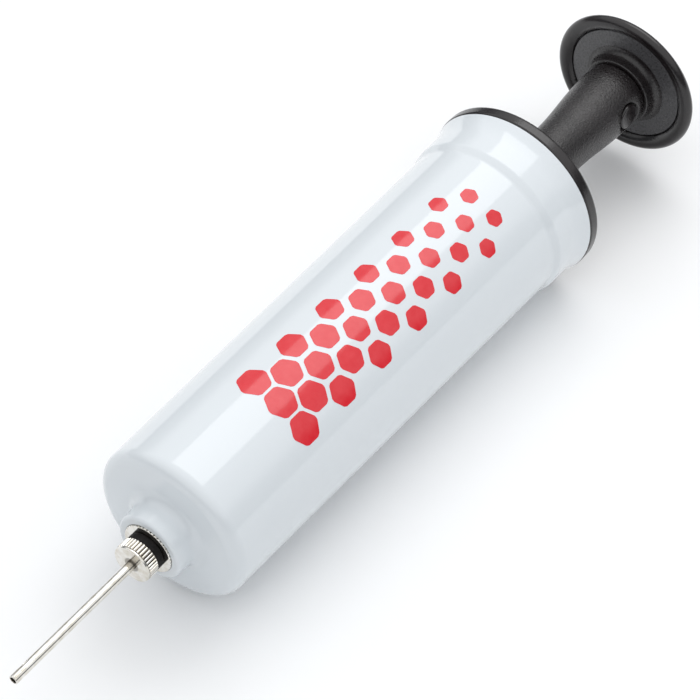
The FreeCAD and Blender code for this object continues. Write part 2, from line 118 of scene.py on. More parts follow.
# the stretch of an outline from low to high gets evenly spaced rows, their radii read off the outline as
# it was; side says which points lie on the face meant. Also gives the number of the first new row
def evenRows(along, radius, low, high, rows, side):
    order = np.argsort(along[side])
    curve = along[side][order], radius[side][order]
    keep = ~(side & (along > low) & (along < high))
    along, radius, side = along[keep], radius[keep], side[keep]
    follows = np.roll(along, -1)
    reaches = (np.minimum(along, follows) <= low) & (np.maximum(along, follows) >= high)
    spot = int(np.flatnonzero(side & np.roll(side, -1) & reaches)[0])
    new = np.linspace(low, high, rows + 1)
    new = new[::-1] if follows[spot] < along[spot] else new
    return np.insert(along, spot + 1, new), np.insert(radius, spot + 1, np.interp(new, *curve)), spot + 1


# a point this far along the pump and this far from its axis, turned from +Z towards -Y:
# (along, -radius * sin(turn), axis height + radius * cos(turn))
def aroundAxis(along, radius, turn):
    along, radius, turn = np.broadcast_arrays(along, radius, turn)
    return np.stack([along, -radius * np.sin(turn), axisHeight + radius * np.cos(turn)], -1)


# the same for a point given by its height and its distance across, in a plane turned round the axis:
# y = -height * sin(turn) - across * cos(turn), z = height * cos(turn) - across * sin(turn)
def inTurnedPlane(turn, along, across, height):
    along, across, height = np.broadcast_arrays(along, across, height)
    side = -height * np.sin(turn) - across * np.cos(turn)
    rise = height * np.cos(turn) - across * np.sin(turn)
    return np.stack([along, side, axisHeight + rise], -1)


# quads between the rows and columns of a grid of points: point number = row * columns + column. Columns
# always go round, and rows do too when the outline is closed
def gridQuads(rows, columns, closedRows):
    row = np.arange(rows if closedRows else rows - 1)
    i, j = np.meshgrid(row, np.arange(columns), indexing="ij")
    i2, j2 = (i + 1) % rows, (j + 1) % columns
    quads = [i * columns + j, i2 * columns + j, i2 * columns + j2, i * columns + j2]
    return np.stack(quads, -1).reshape(-1, 4)


# quads from one ring of point numbers to the next one inside it
def bridge(outer, inner):
    return np.stack([outer, np.roll(outer, -1), np.roll(inner, -1), inner], 1)


# triangles from a ring of point numbers to one tip
def fanTo(tip, ring):
    return np.stack([np.full(len(ring), tip), ring, np.roll(ring, -1)], 1)


# the edge of a block of grid cells as one ring of point numbers: down the first column, along the last row,
# up the last column and back. Backwards is for the other face of a wall, where rows run the other way
def blockRing(firstRow, rows, firstColumn, columns, around, backwards=False):
    row = (firstRow + np.arange(rows + 1)) * around
    row = row[::-1] if backwards else row
    column = (firstColumn + np.arange(columns + 1)) % around
    down, right = row[:-1] + column[0], row[-1] + column[:-1]
    up, left = row[:0:-1] + column[-1], row[0] + column[:0:-1]
    return np.concatenate([down, right, up, left])


# a hole takes a block of cells out of the outer face, and of the inner one if it goes through. Rings of
# points lead from the block's edge to the hole's rim, down its wall and to the far face or a floor. Each
# point keeps the angle that it has round the hole's middle: angle = arctan2(across, reach)
def drilled(points, stays, around, hole):
    turn, rows, columns = hole["turn"], hole["rows"], hole["columns"]
    first = int(round(turn / (2 * np.pi) * around)) - columns // 2
    for face in [hole[side] for side in ("outer", "inner") if side in hole]:
        cells = (face + np.arange(rows))[:, None] * around + (first + np.arange(columns)) % around
        stays[cells.ravel()] = False
    edge = blockRing(hole["outer"], rows, first, columns, around)
    spot = points[edge] - (0, 0, axisHeight)
    across = -spot[:, 1] * np.cos(turn) - spot[:, 2] * np.sin(turn)
    height = spot[:, 2] * np.cos(turn) - spot[:, 1] * np.sin(turn)
    reach = (height if hole["endwise"] else spot[:, 0]) - hole["centre"]
    walls, floors = [], []
    for place in hole["rings"](np.arctan2(across, reach)):
        ring = len(points) + np.arange(len(edge))
        points = np.vstack([points, inTurnedPlane(turn, *place)])
        walls.append(bridge(edge, ring))
        edge = ring
    if "inner" in hole:
        walls.append(bridge(edge, blockRing(hole["inner"], rows, first, columns, around, True)))
    else:
        points = np.vstack([points, points[edge].mean(0)])
        floors.append(fanTo(len(points) - 1, edge))
    return points, walls, floors


# a mesh from whole arrays. The sum of a . (b x c) over its triangles is six times its volume; where that
# comes out negative, the faces look inwards and are turned over
def meshPiece(name, points, quads, triangles=None):
    triangles = np.zeros((0, 3), int) if triangles is None else triangles
    parts = np.concatenate([quads[:, [0, 1, 2]], quads[:, [0, 2, 3]], triangles])
    a, b, c = points[parts[:, 0]], points[parts[:, 1]], points[parts[:, 2]]
    if (a * np.cross(b, c)).sum() < 0:
        quads, triangles = quads[:, ::-1], triangles[:, ::-1]
    corner = np.concatenate([quads.ravel(), triangles.ravel()]).astype(np.int32)
    start = np.concatenate([np.arange(len(quads)) * 4, len(quads) * 4 + np.arange(len(triangles)) * 3])
    mesh = bpy.data.meshes.new(name)
    mesh.vertices.add(len(points))
    mesh.vertices.foreach_set("co", points.astype(np.float32).ravel())
    mesh.loops.add(len(corner))
    mesh.loops.foreach_set("vertex_index", corner)
    mesh.polygons.add(len(start))
    mesh.polygons.foreach_set("loop_start", start.astype(np.int32))
    mesh.polygons.foreach_set("use_smooth", np.ones(len(start), bool))
    mesh.update(calc_edges=True)
    piece = bpy.data.objects.new(name, mesh)
    bpy.context.scene.collection.objects.link(piece)
    return piece


# an outline carried round the pump's axis: point = aroundAxis(along(row), radius(row, column), turn(column)).
# Both ends of an open outline lie on the axis, and each becomes one point with a fan of triangles
def turnedPiece(name, along, radius, around, closed=True, holes=()):
    radius = radius if radius.ndim == 2 else radius[:, None]
    body = slice(None) if closed else slice(1, -1)
    points = aroundAxis(along[body, None], radius[body], turnsOf(around)[None]).reshape(-1, 3)
    rows = len(points) // around
    quads = gridQuads(rows, around, closed)
    stays = np.ones(len(quads), bool)
    joins, fans = [], []
    for hole in holes:
        points, walls, floors = drilled(points, stays, around, hole)
        joins += walls
        fans += floors
    quads = np.concatenate([quads[stays]] + joins)
    if not closed:
        ring = np.arange(around)
        tip = len(points)
        fans += [fanTo(tip, ring), fanTo(tip + 1, (rows - 1) * around + ring)[:, ::-1]]
        points = np.vstack([points, aroundAxis(along[[0, -1]], 0.0, 0.0)])
    return meshPiece(name, points, quads, np.concatenate(fans) if fans else None)


# a number from 0 to 1 for each point of a piece, which its material reads by name
def markPoints(piece, name, share):
    marks = piece.data.attributes.new(name, "FLOAT", "POINT")
    marks.data.foreach_set("value", np.clip(share, 0, 1).astype(np.float32).ravel())


# the piece takes over from its CAD node, moves with the node's body and gets its finish
def takeOver(piece, node, body, material):
    piece.data.materials.append(material)
    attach(piece, body)
    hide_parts(node)


# a node with these plain values on its sockets
def addNode(tree, kind, values=None):
    node = tree.nodes.new(kind)
    for socket, value in (values or {}).items():
        node.inputs[socket].default_value = value
    return node


# a material, its node tree and its shader with these plain values
def newMaterial(name, values):
    material = bpy.data.materials.new(name)
    material.use_nodes = True
    shader = material.node_tree.nodes["Principled BSDF"]
    for socket, value in values.items():
        shader.inputs[socket].default_value = value
    return material, material.node_tree, shader


# object coordinates in millimetres, times a factor for each axis
def millimetres(tree, stretch=(1, 1, 1)):
    place = tree.nodes.new("ShaderNodeTexCoord")
    mapping = addNode(tree, "ShaderNodeMapping", {"Scale": [s / mm for s in stretch]})
    tree.links.new(place.outputs["Object"], mapping.inputs["Vector"])
    return mapping.outputs["Vector"]


# cloudy noise from 0 to 1, scale in cells per millimetre
def noiseOn(tree, vector, scale, detail=3.0, roughness=0.5):
    values = {"Scale": scale, "Detail": detail, "Roughness": roughness}
    noise = addNode(tree, "ShaderNodeTexNoise", values)
    tree.links.new(vector, noise.inputs["Vector"])
    return noise.outputs["Fac"]


# colour read off a ramp of (place, colour) stops
def rampOn(tree, factor, stops):
    ramp = tree.nodes.new("ShaderNodeValToRGB")
    elements = ramp.color_ramp.elements
    while len(elements) < len(stops):
        elements.new(0.5)
    for element, (place, colour) in zip(elements, stops):
        element.position = place
        element.color = (*colour, 1.0)
    tree.links.new(factor, ramp.inputs["Fac"])
    return ramp.outputs["Color"]


# the range fromLow to fromHigh spread over low to high, and held at its ends
def spreadOn(tree, factor, low, high, fromLow=0.3, fromHigh=0.7):
    values = {"From Min": fromLow, "From Max": fromHigh, "To Min": low, "To Max": high}
    spread = addNode(tree, "ShaderNodeMapRange", values)
    tree.links.new(factor, spread.inputs["Value"])
    return spread.outputs["Result"]


# a surface that rises by height * distance, laid over the bump before it
def bumpOn(tree, shader, height, distance, strength, before=None):
    bump = addNode(tree, "ShaderNodeBump", {"Strength": strength, "Distance": distance})
    tree.links.new(height, bump.inputs["Height"])
    if before is not None:
        tree.links.new(before, bump.inputs["Normal"])
    tree.links.new(bump.outputs["Normal"], shader.inputs["Normal"])
    return bump.outputs["Normal"]


# the mark of that name on a piece's points, 0 where it has none
def markOn(tree, name):
    mark = tree.nodes.new("ShaderNodeAttribute")
    mark.attribute_name = name
    return mark.outputs["Fac"]


# colour = first * (1 - share) + second * share; second is a socket or a plain colour
def mixOn(tree, share, first, second):
    mix = tree.nodes.new("ShaderNodeMix")
    mix.data_type = "RGBA"
    tree.links.new(share, mix.inputs["Factor"])
    tree.links.new(first, mix.inputs["A"])
    if isinstance(second, tuple):
        mix.inputs["B"].default_value = (*second, 1)
    else:
        tree.links.new(second, mix.inputs["B"])
    return mix.outputs["Result"]


# a finish of three noises: colour = ramp of the first between two tones, roughness = the second spread
# between two values, height = the third times the bump's depth in millimetres
def cloudyFinish(name, look):
    material, tree, shader = newMaterial(name, look["shader"])
    where = millimetres(tree)
    tone = rampOn(tree, noiseOn(tree, where, *look["patches"]), look["tones"])
    tree.links.new(tone, shader.inputs["Base Color"])
    rough = spreadOn(tree, noiseOn(tree, where, *look["haze"]), *look["roughness"])
    tree.links.new(rough, shader.inputs["Roughness"])
    raised = noiseOn(tree, millimetres(tree, look.get("bumpStretch", (1, 1, 1))), *look["bumps"])
    bumpOn(tree, shader, raised, look["bumpDepth"] * mm, look["bumpStrength"])
    return material


# each noise in the looks below is given as its cells per millimetre, its detail and, where it has a
# third number, its roughness; patches colour a finish and haze roughens it
barrelLook = {
    "shader": {"IOR": 1.5, "Coat Weight": 0.25, "Coat Roughness": 0.05},
    "tones": [(0.3, (0.72, 0.76, 0.79)), (0.7, (0.745, 0.785, 0.815))],
    "patches": (0.035, 4),
    "patchStretch": (0.25, 1, 1),  # the melt flowed along the barrel
    "roughness": (0.06, 0.12),
    "haze": (0.12, 5),
    "peel": (0.55, 2),
    "peelDepth": 0.012,  # mm
    "peelStrength": 0.35,
    "waves": (0.06, 2),
    "waveDepth": 0.05,  # mm
    "waveStrength": 0.25,
}


# glossy moulding: tones in long patches, and a bump of slow waves laid over fine orange peel
def barrelPlastic():
    material, tree, shader = newMaterial("barrelPlastic", barrelLook["shader"])
    where = millimetres(tree)
    flow = noiseOn(tree, millimetres(tree, barrelLook["patchStretch"]), *barrelLook["patches"])
    tree.links.new(rampOn(tree, flow, barrelLook["tones"]), shader.inputs["Base Color"])
    rough = spreadOn(tree, noiseOn(tree, where, *barrelLook["haze"]), *barrelLook["roughness"])
    tree.links.new(rough, shader.inputs["Roughness"])
    peel = noiseOn(tree, where, *barrelLook["peel"])
    peelBump = bumpOn(tree, shader, peel, barrelLook["peelDepth"] * mm, barrelLook["peelStrength"])
    waves = noiseOn(tree, where, *barrelLook["waves"])
    bumpOn(tree, shader, waves, barrelLook["waveDepth"] * mm, barrelLook["waveStrength"], peelBump)
    return material


blackLook = {
    "shader": {"IOR": 1.56},
    "tones": [(0.35, (0.0075, 0.0055, 0.006)), (0.75, (0.0175, 0.0135, 0.0145))],
    "patches": (0.18, 5),
    # where a piece is marked, as on the flat ring of the knob, a lighter tone in cloudy patches: painted
    # reflection of the studio's light
    "paintedSheenTones": [(0.35, (0.045, 0.044, 0.047)), (0.65, (0.09, 0.088, 0.092))],
    "paintedSheenPatches": (2.2, 5, 0.65),
    "haze": (1.4, 6),
    "grain": (1.9, 4, 0.65),
    "pitSize": 2.47,  # pits per mm
    "pitShare": 0.5,  # of the grain's height
    "grainDepth": 0.13,  # mm
    "grainStrength": 0.9,
    # how deep the grain is, and the roughness
    "grained": (1.0, (0.22, 0.34)),
    "smooth": (0.15, (0.16, 0.25)),
    "matt": (0.5, (0.24, 0.34)),
}


# moulded black plastic: the height is noise + share * distance to the nearest pit, times the grain's
# depth, where grain 1 is the sparked texture of the neck and 0 a polished face
def blackPlastic(name, grain, roughness):
    material, tree, shader = newMaterial(name, blackLook["shader"])
    where = millimetres(tree)
    moulded = rampOn(tree, noiseOn(tree, where, *blackLook["patches"]), blackLook["tones"])
    # the marked tone is painted reflection, mixed over the moulded tone
    paintedSheen = rampOn(tree, noiseOn(tree, where, *blackLook["paintedSheenPatches"]), blackLook["paintedSheenTones"])
    tree.links.new(mixOn(tree, markOn(tree, "paintedSheen"), moulded, paintedSheen), shader.inputs["Base Color"])
    rough = spreadOn(tree, noiseOn(tree, where, *blackLook["haze"]), *roughness)
    tree.links.new(rough, shader.inputs["Roughness"])
    pits = addNode(tree, "ShaderNodeTexVoronoi", {"Scale": blackLook["pitSize"]})
    tree.links.new(where, pits.inputs["Vector"])
    both = tree.nodes.new("ShaderNodeMath")
    both.operation = "MULTIPLY_ADD"
    both.inputs[1].default_value = blackLook["pitShare"]
    tree.links.new(pits.outputs["Distance"], both.inputs[0])
    tree.links.new(noiseOn(tree, where, *blackLook["grain"]), both.inputs[2])
    depth = blackLook["grainDepth"] * mm * grain
    bumpOn(tree, shader, both.outputs[0], depth, blackLook["grainStrength"])
    return material


nickelLook = {
    "shader": {"Metallic": 1.0},
    "tones": [(0.3, (0.66, 0.62, 0.54)), (0.62, (0.83, 0.81, 0.77))],
    "patches": (0.7, 5),
    # the dark tone laid on by the mark: painted shade in grooves and the gap, and the solder's darkening near
    # the tube
    "shadeAndSolderTone": (0.09, 0.075, 0.06),
    "shadeAndSolderShare": (0.0, 0.9, 0.25, 0.95),  # least and most, and the groove marks where they are reached
    "roughness": (0.06, 0.15),
    "haze": (1.6, 5),
    "turningLines": (5.0, 4, 0.7),
    "turningStretch": (1, 0.03, 0.03),
    "turningDepth": 0.006,  # mm
    "turningStrength": 0.3,
}


# turned and plated brass: a dark tone grows with the mark, which is painted shade in grooves and the gap and
# the solder's own darkening near the tube, and the lathe's fine lines run round the axis, so their noise
# varies along X and hardly across
def nickelPlate():
    material, tree, shader = newMaterial("nickelPlate", nickelLook["shader"])
    where = millimetres(tree)
    plate = rampOn(tree, noiseOn(tree, where, *nickelLook["patches"]), nickelLook["tones"])
    shadedAndSoldered = spreadOn(tree, markOn(tree, "paintedShadeAndSolder"), *nickelLook["shadeAndSolderShare"])
    tree.links.new(mixOn(tree, shadedAndSoldered, plate, nickelLook["shadeAndSolderTone"]), shader.inputs["Base Color"])
    rough = spreadOn(tree, noiseOn(tree, where, *nickelLook["haze"]), *nickelLook["roughness"])
    tree.links.new(rough, shader.inputs["Roughness"])
    lines = noiseOn(tree, millimetres(tree, nickelLook["turningStretch"]), *nickelLook["turningLines"])
    bumpOn(tree, shader, lines, nickelLook["turningDepth"] * mm, nickelLook["turningStrength"])
    return material


steelLook = {
    "shader": {"Metallic": 1.0},
    "tones": [(0.3, (0.42, 0.42, 0.43)), (0.7, (0.63, 0.63, 0.64))],
    "patches": (1.1, 4),
    "roughness": (0.22, 0.38),
    "haze": (2.0, 4),
    "bumps": (1.0, 4),
    "bumpStretch": (6, 0.3, 0.3),
    "bumpDepth": 0.01,
    "bumpStrength": 0.4,
}

rubberLook = {
    "shader": {"IOR": 1.4, "Specular IOR Level": 0.3},
    "tones": [(0.3, (0.005, 0.0045, 0.0045)), (0.7, (0.012, 0.010, 0.010))],
    "patches": (0.9, 5),
    "roughness": (0.5, 0.75),
    "haze": (2.5, 4),
    "bumps": (6.0, 3),
    "bumpDepth": 0.02,
    "bumpStrength": 0.5,
}
greyRubberLook = {**rubberLook, "tones": [(0.3, (0.09, 0.09, 0.095)), (0.7, (0.15, 0.15, 0.155))]}

acetalLook = {
    "shader": {"IOR": 1.5, "Subsurface Weight": 0.15, "Subsurface Radius": (0.002, 0.0018, 0.0015)},
    "tones": [(0.3, (0.60, 0.575, 0.51)), (0.7, (0.70, 0.68, 0.63))],
    "patches": (0.25, 4),
    "roughness": (0.3, 0.45),
    "haze": (1.5, 4),
    "bumps": (2.2, 3),
    "bumpDepth": 0.02,
    "bumpStrength": 0.4,
}

# screen-printed ink, a little thinner and paler in cloudy patches
inkLook = {
    "shader": {"IOR": 1.5, "Coat Weight": 0.2, "Coat Roughness": 0.06},
    "tones": [(0.35, (0.70, 0.012, 0.024)), (0.7, (0.73, 0.028, 0.04))],
    "patches": (0.5, 5),
    "roughness": (0.12, 0.2),
    "haze": (1.2, 4),
    "bumps": (3.0, 3),
    "bumpDepth": 0.006,
    "bumpStrength": 0.3,
}

barrelWhite = barrelPlastic()
grainedBlack = blackPlastic("grainedBlack", *blackLook["grained"])
smoothBlack = blackPlastic("smoothBlack", *blackLook["smooth"])
mattBlackPaintedSheen = blackPlastic("mattBlackPaintedSheen", *blackLook["matt"])
nickel = nickelPlate()
steel = cloudyFinish("drawnSteel", steelLook)
blackRubber = cloudyFinish("blackRubber", rubberLook)
greyRubber = cloudyFinish("greyRubber", greyRubberLook)
acetal = cloudyFinish("naturalPlastic", acetalLook)
redInk = cloudyFinish("printInk", inkLook)
print("materials made")

barrel = {
    # an outline's corners: behind the piece's own front, radius, rounding, all in mm
    "corners": [
        (0.0, 5.7, 0.12),
        (0.0, 7.45, 0.7),
        (5.7, 7.8, 2.3),
        (5.7, 17.53, 2.6),
        (107.1, 18.3, 2.4),
        (108.9, 19.0, 2.0),
        (115.2, 19.1, 14.0),
        (118.3, 20.0, 0.12),
        (118.3, 16.9, 0.1),
        (108.8, 16.9, 0.15),
        (108.8, 15.6, 0.15),
        (8.7, 15.6, 0.8),
        (8.7, 6.2, 0.5),
        (12.7, 6.2, 0.2),
        (12.7, 4.0, 0.1),
        (9.6, 4.0, 0.1),
        (9.6, 2.4, 0.1),
        (5.1, 2.4, 0.1),
        (5.1, 5.7, 0.1),
    ],
    "around": 288,
    "skinBeyond": 17.4,  # the outer skin behind the shoulder is wider than this
}
barrelAlong, barrelRadius = roundedOutline(placed("barrel_shell", barrel["corners"]), steps=9)
barrelSkin = turnedPiece("barrelSkin", barrelAlong, barrelRadius, barrel["around"])
takeOver(barrelSkin, "barrel_shell", "barrel", barrelWhite)
print("barrel made")

hexPrint = {
    "first": 33.0,  # distance of the first column behind the nose's front
    "columns": 12,
    "pitch": 5.9,  # between columns
    "rowPitch": 6.8,  # round the barrel
    "size": (3.6, 2.0),  # cell radius at the front and at the rear
    "turn": 21.0,  # degrees from the top
    "lift": 0.03,  # of the ink over the plastic
    "sink": 0.05,  # of its edge into the plastic
    "corner": 0.06,  # share of the radius cut off each corner
    "edge": 0.99,  # share of the radius where a ring holds the rim sharp
    "rings": 5,
    "spokes": 48,
}
isOuter = (barrelRadius > barrel["skinBeyond"] * mm) & (np.roll(barrelAlong, -1) >= barrelAlong)
barrelSkinLine = barrelAlong[isOuter], barrelRadius[isOuter]


# a point on or near the barrel's skin, given in mm along it and round it:
# turn = turn of the print + girth / radius of the skin there
def onBarrel(along, girth, lift):
    skin = np.interp(along * mm, *barrelSkinLine)
    return aroundAxis(along * mm, skin + lift * mm, math.radians(hexPrint["turn"]) + girth * mm / skin)


# the middles of the cells, along the pump and round the barrel, and their radii: along = first +
# column * pitch, girth = lane * row pitch. Every second column is half a pitch further round and has two
# cells, the others have three
def hexagonPlaces():
    column, lane = np.meshgrid(np.arange(hexPrint["columns"]), np.array([-1.0, 0.0, 1.0]), indexing="ij")
    odd = column % 2 == 1
    keep = ~(odd & (lane > 0.5))
    column, lane = column[keep], (lane + np.where(odd, 0.5, 0.0))[keep]
    front, rear = hexPrint["size"]
    size = front + (rear - front) * (column / (hexPrint["columns"] - 1))
    along = frontOf("barrel_shell") + hexPrint["first"] + column * hexPrint["pitch"]
    return along, lane * hexPrint["rowPitch"], size


# each cell is a hexagon in polar form, reach = size * cos(30) / cos(angle to the nearest side's middle), laid
# on the barrel by arc length; its last ring drops into the plastic, and a fan closes it above and below
def printedHexagons():
    along, girth, size = hexagonPlaces()
    rings, spokes = hexPrint["rings"], hexPrint["spokes"]
    angle = turnsOf(spokes)
    reach = np.cos(np.pi / 6) / np.cos((angle % (np.pi / 3)) - np.pi / 6)
    reach = np.minimum(reach, 1 - hexPrint["corner"])
    share = np.append(np.linspace(0, 1, rings + 1)[1:-1], [hexPrint["edge"], 1.0, 1.0])
    rings = len(share)  # with the rim's own three
    local = size[:, None, None] * share[None, :, None] * reach[None, None]
    lift = np.full(rings, hexPrint["lift"])
    lift[-1] = -hexPrint["sink"]
    cellAlong = along[:, None, None] + local * np.cos(angle)
    cellGirth = girth[:, None, None] + local * np.sin(angle)
    skin = onBarrel(cellAlong, cellGirth, lift[None, :, None])
    top, bottom = onBarrel(along, girth, hexPrint["lift"]), onBarrel(along, girth, -hexPrint["sink"])
    points = np.vstack([skin.reshape(-1, 3), top, bottom])
    count, block, spoke = len(size), rings * spokes, np.arange(spokes)
    offset = (np.arange(count) * block)[:, None, None]
    quads = (gridQuads(rings, spokes, False) + offset).reshape(-1, 4)
    tip = count * block + np.arange(count)
    upper = fanTo(0, spoke)[None] + offset
    lower = fanTo(0, (rings - 1) * spokes + spoke)[None, :, ::-1] + offset
    upper[:, :, 0] = tip[:, None]
    lower[:, :, 2] = tip[:, None] + count
    return meshPiece("printedHexagons", points, quads, np.concatenate([upper, lower]).reshape(-1, 3))


hexagons = printedHexagons()
hexagons.data.materials.append(redInk)
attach(hexagons, "barrel")
print("print laid on")


# how far into its vee a point of a knurl lies, 0 on the land and 1 at the bottom:
# the distance to the nearest of evenly spaced lines, folded and cut off at the land's edge
def veeDepth(turn, count, share):
    fold = np.abs((turn * count / (2 * np.pi)) % 1 - 0.5) * 2
    return np.clip((fold - (1 - share)) / share, 0, 1)


# depth of a screw thread at a place, 0 to 1: slope * folded (along / pitch - turn / full turn) - crest,
# cut off above and below for the thread's flat crests and roots
def threadDepth(along, turn, pitch, slope=2.6, crest=0.15):
    phase = (along / pitch - turn / (2 * np.pi)) % 1
    return np.clip(np.abs(phase - 0.5) * slope - crest, 0, 1)


insert = {
    "corners": [
        (0.0, 3.35, 0.12),
        (0.0, 5.68, 0.2),
        (5.4, 5.68, 0.3),
        (5.4, 1.0, 0.1),
        (4.1, 1.0, 0.1),
        (4.1, 3.1, 0.15),
        (0.35, 3.1, 0.05),
    ],
    "around": 480,
    "notches": 40,
    "notchDepth": 0.22,
    "notchShare": 0.5,  # of the way round
    "notchTop": 5.7,  # radius that the notches are cut from
    # how dark the notches' bottoms are painted: painted shade in their valleys
    "notchShadeMost": 0.8,
}


# radius = the outline's own, or top - depth * veeDepth(turn) where that is less; an outline further in than
# the notches' bottoms stays round
def notchedRim(radius, slack=0.05):
    top, depth = insert["notchTop"], insert["notchDepth"]
    vee = veeDepth(turnsOf(insert["around"]), insert["notches"], insert["notchShare"])
    cutTo = (top - depth * vee) * mm
    outside = radius[:, None] > (top - depth - slack) * mm
    return np.where(outside, np.minimum(radius[:, None], cutTo[None]), radius[:, None])


insertAlong, insertRadius = roundedOutline(placed("nozzle_insert", insert["corners"]), steps=5, support=0.1)
insertShape = notchedRim(insertRadius)
insertRing = turnedPiece("nozzleInsert", insertAlong, insertShape, insert["around"])
insertDepth = (insertRadius[:, None] - insertShape) / (insert["notchDepth"] * mm)
# the notches' valleys are painted darker by their depth: painted shade, laid on by the plate's dark tone
markPoints(insertRing, "paintedShadeAndSolder", insertDepth * insert["notchShadeMost"])
takeOver(insertRing, "nozzle_insert", "barrel", nickel)

needleHead = {
    "corners": [
        (0.0, 0.97, 0.08),
        (0.0, 1.4),
        (0.0, 1.9),
        (0.0, 4.2, 0.12),
        (0.42, 4.2, 0.05),
        (0.5, 4.12, 0.02),
        (0.58, 4.3, 0.03),
        (2.8, 4.3, 0.06),
        (3.0, 4.05, 0.05),
        (3.0, 2.6, 0.1),
        (3.6, 2.6, 0.1),
        (3.85, 2.95, 0.05),
        (8.15, 2.95, 0.05),
        (8.4, 2.6, 0.1),
        (8.4, 0.6, 0.1),
        (6.1, 0.6, 0.05),
        (6.1, 0.97, 0.05),
    ],
    "around": 432,
    "ridges": 36,
    "ridgeDepth": 0.42,
    "ridgeGap": 0.7,  # share of the way round that the vees take
    "ridgeTop": 4.3,
    "knurlFrom": 0.49,  # the knurl starts this far behind the front
    "knurlBeyond": 3.95,  # and lies outside this radius
    "shank": (3.85, 8.15),  # where the thread starts and ends
    "shankRadius": (2.9, 3.0),  # the shank's outside lies between these
    "shankRows": 60,
    "threadPitch": 0.75,
    "threadDepth": 0.3,
    "threadFade": 0.4,
    "gap": (0.5, 0.06),  # place and half width of the narrow turned gap behind the front disc
    "gapRadius": 4.16,
    "solderRadius": (1.9, 0.5),  # where the darkening by solder ends and over what width it fades
    "solderTo": 0.1,  # behind the front
    "solderMost": 0.75,
    "fullShadeDepth": 0.34,  # as deep as this a groove is painted fully dark, as painted shade
}
headAlong, headRadius = roundedOutline(placed("needle_head", needleHead["corners"]), steps=4, support=0.08)
headFront = frontOf("needle_head") * mm
shank = (frontOf("needle_head") + np.array(needleHead["shank"])) * mm


# the long straight run between low and high, longer than this share of the way, is swapped for many short
# ones of one radius
def denserRun(along, radius, low, high, rows, share=0.6):
    follows = np.roll(along, -1)
    inside = (along > low - 1e-5) & (follows < high + 1e-5) & (follows - along > (high - low) * share)
    spot = int(np.flatnonzero(inside)[0])
    new = np.linspace(along[spot], follows[spot], rows)[1:-1]
    return np.insert(along, spot + 1, new), np.insert(radius, spot + 1, np.full(len(new), radius[spot]))


# radius = the outline's own; on the knurl at most top - depth * veeDepth(turn), and on the shank less by
# depth * threadDepth(along, turn), which fades out towards both ends of the thread
def headSurface():
    turn = turnsOf(needleHead["around"])
    vee = veeDepth(turn, needleHead["ridges"], needleHead["ridgeGap"])
    knurl = (needleHead["ridgeTop"] - needleHead["ridgeDepth"] * vee) * mm
    radius = np.repeat(headRadius[:, None], len(turn), 1)
    behind = headAlong - headFront > needleHead["knurlFrom"] * mm
    onKnurl = behind & (headRadius > needleHead["knurlBeyond"] * mm)
    radius = np.where(onKnurl[:, None], np.minimum(radius, knurl[None]), radius)
    toEnd = np.minimum(headAlong - shank[0], shank[1] - headAlong)
    fade = np.clip(toEnd / (needleHead["threadFade"] * mm), 0, 1)
    low, high = needleHead["shankRadius"]
    onShank = (headRadius > low * mm) & (headRadius < high * mm)
    thread = threadDepth(headAlong[:, None], turn[None], needleHead["threadPitch"] * mm)
    depth = needleHead["threadDepth"] * mm * thread
    return np.where(onShank[:, None], radius - depth * fade[:, None], radius)


# darkening = painted shade by the depth of the surface under its outline, plus 1 in the gap behind the disc,
# painted dark all round as shade, plus the solder's darkening of the disc towards the tube
def headShadeAndSolder(shape):
    place, half = needleHead["gap"]
    inGap = np.abs(headAlong - headFront - place * mm) < half * mm
    gap = inGap & (headRadius < needleHead["gapRadius"] * mm)
    end, width = needleHead["solderRadius"]
    solder = np.clip((end * mm - headRadius) / (width * mm), 0, needleHead["solderMost"])
    solder = np.where(headAlong < headFront + needleHead["solderTo"] * mm, solder, 0)
    return (headRadius[:, None] - shape) / (needleHead["fullShadeDepth"] * mm) + (gap + solder)[:, None]


headAlong, headRadius = denserRun(headAlong, headRadius, *shank, needleHead["shankRows"])
headShape = headSurface()
needleHeadPiece = turnedPiece("needleHead", headAlong, headShape, needleHead["around"])
# the mark carries painted shade in the knurl, the thread and the gap, and the solder's own darkening
markPoints(needleHeadPiece, "paintedShadeAndSolder", headShadeAndSolder(headShape))
takeOver(needleHeadPiece, "needle_head", "needle", nickel)

needleTube = {
    "corners": [
        (0.0, 0.72, 0.05),
        (0.0, 0.97, 0.1),
        (0.35, 0.99, 0.2),
        (33.7, 0.99, 0.02),
        (33.72, 0.95, 0.02),
        (39.7, 0.95, 0.05),
        (39.7, 0.68, 0.05),
        (0.45, 0.68, 0.1),
    ],
    "around": 96,
    "skinBeyond": 0.9,  # the skin is wider than this
    "boreWithin": 0.7,  # and the bore narrower than this
    "port": 4.0,  # behind the tube's tip
    "portSize": (1.5, 0.84),  # along the tube and across it
    "portTurn": -52.0,
    # from the skin to the bore: how much wider than the port's half size, and at which radius
    "portRings": [(0.05, 0.99), (0.0, 0.95), (0.0, 0.72), (0.02, 0.68)],
    "portReach": 0.95,  # half the length of the patch that the port sits in
    "portRows": 16,
    "portColumns": 24,
    "solder": 2.2,  # how far ahead of the head solder darkens the tube
    "solderPast": 0.2,  # its rows go on this far into the head
    "solderRows": 8,
    "solderMost": 0.8,
}
portPlace = (frontOf("needle_tube") + needleTube["port"]) * mm


# the side port is drilled through one wall of the tube: an ellipse, along = half length * cos(angle) and
# across = half width * sin(angle), at the height sqrt(radius^2 - across^2) for each radius in turn
def portRings(angle):
    length, width = needleTube["portSize"]
    rings = []
    for wider, radius in needleTube["portRings"]:
        across = (width / 2 + wider) * mm * np.sin(angle)
        along = portPlace + (length / 2 + wider) * mm * np.cos(angle)
        rings.append((along, across, np.sqrt((radius * mm) ** 2 - across**2)))
    return rings


